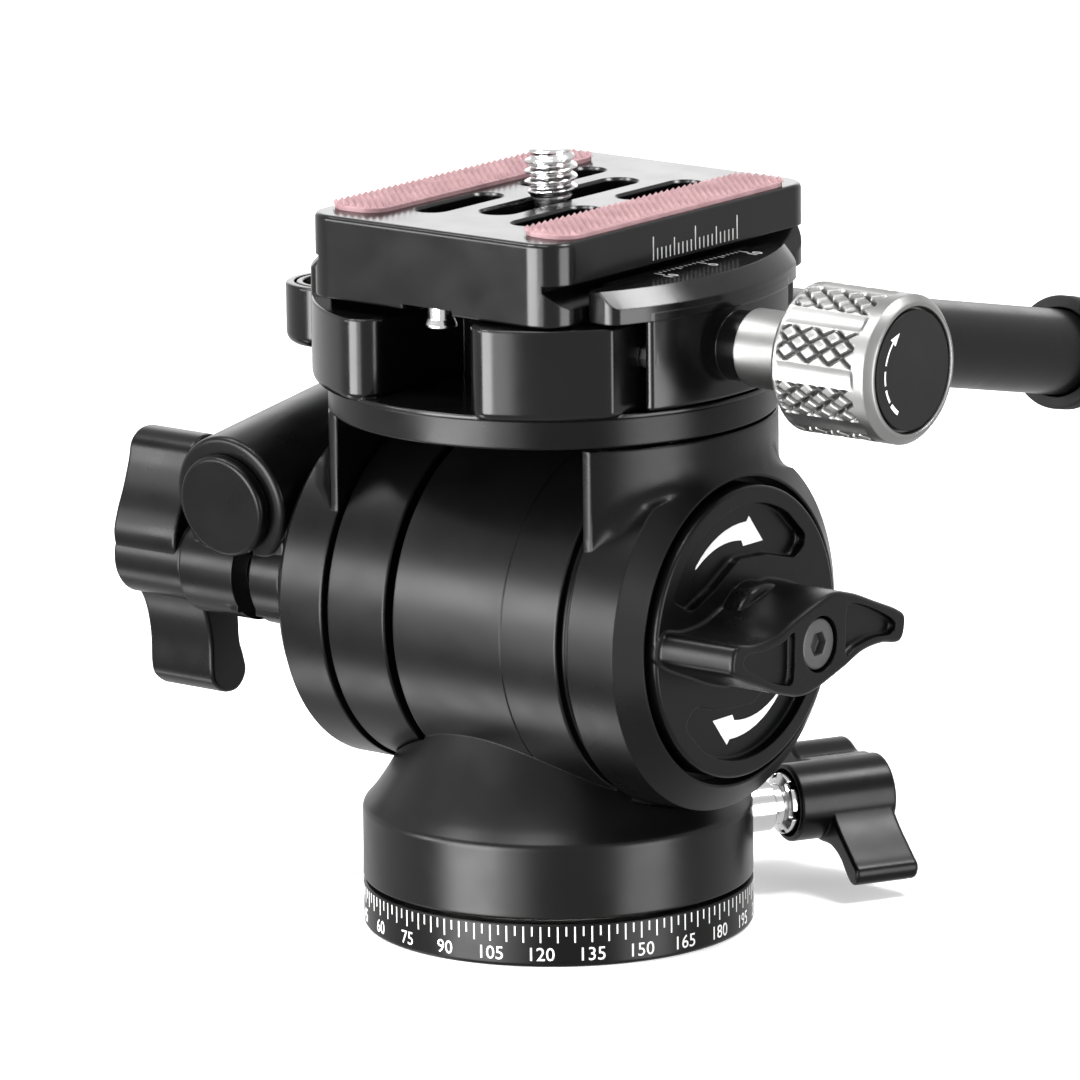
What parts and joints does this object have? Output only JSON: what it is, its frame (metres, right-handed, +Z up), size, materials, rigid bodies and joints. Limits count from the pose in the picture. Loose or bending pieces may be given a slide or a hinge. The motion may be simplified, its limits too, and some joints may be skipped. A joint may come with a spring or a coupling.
{
  "type": "fluid video head",
  "caption": "Small fluid video head with pan base, tilt drum in a yoke, screw clamp with quick release plate, bullseye level and bent pan handle.",
  "frame": {"origin": "pan axis at the underside of the base, where the tripod stud enters", "axes": "+X along the tilt axis to the tilt knob, +Y to the operator and the handle, -Y to the lens, +Z up along the pan axis"},
  "size_m": [0.1081, 0.2749, 0.0944],
  "materials": {
    "black_anodised": "satin",
    "satin_silver": "satin",
    "chrome": "polished",
    "steel": "brushed",
    "brass": "machined",
    "nylon": "matte",
    "grip_rubber": "matte",
    "pad_rubber": "diamond texture",
    "vial": "clear"
  },
  "bodies": {
    "base": {"scale_ring": "black_anodised", "tripod_bush": "brass", "pan_washer": "nylon", "pan_retainer": "steel", "pan_spindle": "steel"},
    "pan_head": {"dome_body": "black_anodised", "drum_cover": "black_anodised", "left_bush": "brass", "right_bush": "brass", "damper_housing": "steel", "damper_lid": "steel", "pan_lock_pad": "nylon"},
    "pan_lock": {"pan_lock_screw": "chrome", "pan_lock_knob": "black_anodised"},
    "yoke": {"tilt_yoke": "black_anodised", "tilt_axle": "steel", "damper_rotor": "nylon", "friction_disc": "nylon", "clamp_base": "black_anodised", "mount_screw_front": "steel", "mount_screw_rear": "steel", "jaw_spring": "steel", "level_ring": "black_anodised", "level_vial": "vial"},
    "tilt_lock": {"tilt_knob": "black_anodised", "tilt_knob_screw": "steel"},
    "jaw": {"clamp_jaw": "black_anodised", "guide_pin_front": "steel", "guide_pin_rear": "steel"},
    "clamp_wheel": {"clamp_screw": "steel", "clamp_knob": "satin_silver", "knob_inlay": "black_anodised"},
    "plate": {"quick_release_plate": "black_anodised", "pad_left": "pad_rubber", "pad_right": "pad_rubber", "stop_screw_front": "chrome", "stop_screw_rear": "chrome"},
    "screw_slider": {"screw_washer": "steel"},
    "camera_screw": {"camera_screw": "chrome"},
    "handle_bracket": {"handle_clamp": "black_anodised", "handle_washer": "steel"},
    "handle_lock": {"handle_stud": "steel", "handle_wing_knob": "black_anodised"},
    "handle_slider": {"tube_end_cap": "black_anodised"},
    "handle": {"handle_tube": "black_anodised", "handle_grip": "grip_rubber", "grip_end_cap": "grip_rubber"}
  },
  "joints": [
    {"name": "pan", "type": "hinge", "parent": "base", "child": "pan_head", "pos_m": [0, 0, 0.02], "axis": [0, 0, 1], "continuous": true},
    {"name": "pan_lock_turn", "type": "hinge", "parent": "pan_head", "child": "pan_lock", "pos_m": [0, 0, 0.0106], "axis": [0.454, 0.891, 0], "range_deg": [-150, 60]},
    {"name": "tilt", "type": "hinge", "parent": "pan_head", "child": "yoke", "pos_m": [0, 0, 0.03925], "axis": [1, 0, 0], "range_deg": [-60, 85]},
    {"name": "tilt_lock_turn", "type": "hinge", "parent": "yoke", "child": "tilt_lock", "pos_m": [0, 0, 0.03925], "axis": [1, 0, 0], "range_deg": [-150, 60]},
    {"name": "jaw_slide", "type": "slide", "parent": "yoke", "child": "jaw", "axis": [1, 0, 0], "range_m": [0, 0.003]},
    {"name": "clamp_turn", "type": "hinge", "parent": "jaw", "child": "clamp_wheel", "pos_m": [0, 0, 0.07375], "axis": [1, 0, 0], "range_deg": [0, 1080]},
    {"name": "plate_slide", "type": "slide", "parent": "yoke", "child": "plate", "axis": [0, 1, 0], "range_m": [-0.006, 0.006]},
    {"name": "screw_slide", "type": "slide", "parent": "plate", "child": "screw_slider", "axis": [0, 1, 0], "range_m": [-0.0095, 0.0125]},
    {"name": "camera_screw_turn", "type": "hinge", "parent": "screw_slider", "child": "camera_screw", "pos_m": [0, 0, 0.09], "axis": [0, 0, 1], "continuous": true},
    {"name": "handle_pitch", "type": "hinge", "parent": "yoke", "child": "handle_bracket", "pos_m": [-0.028, -0.012, 0.0406], "axis": [1, 0, 0], "range_deg": [-60, 8]},
    {"name": "handle_lock_turn", "type": "hinge", "parent": "handle_bracket", "child": "handle_lock", "pos_m": [-0.05, -0.012, 0.0406], "axis": [1, 0, 0], "range_deg": [-60, 150]},
    {"name": "handle_reach", "type": "slide", "parent": "handle_bracket", "child": "handle_slider", "axis": [0, -0.9903, -0.1392], "range_m": [0, 0.025]},
    {"name": "handle_roll", "type": "hinge", "parent": "handle_slider", "child": "handle", "pos_m": [-0.0354, -0.0182, 0.0499], "axis": [0, 0.9903, 0.1392], "range_deg": [-90, 90]}
  ],
  "couplings": [
    {"joint": "clamp_turn", "follows": "jaw_slide", "rad_per_m": 6283.2}
  ]
}
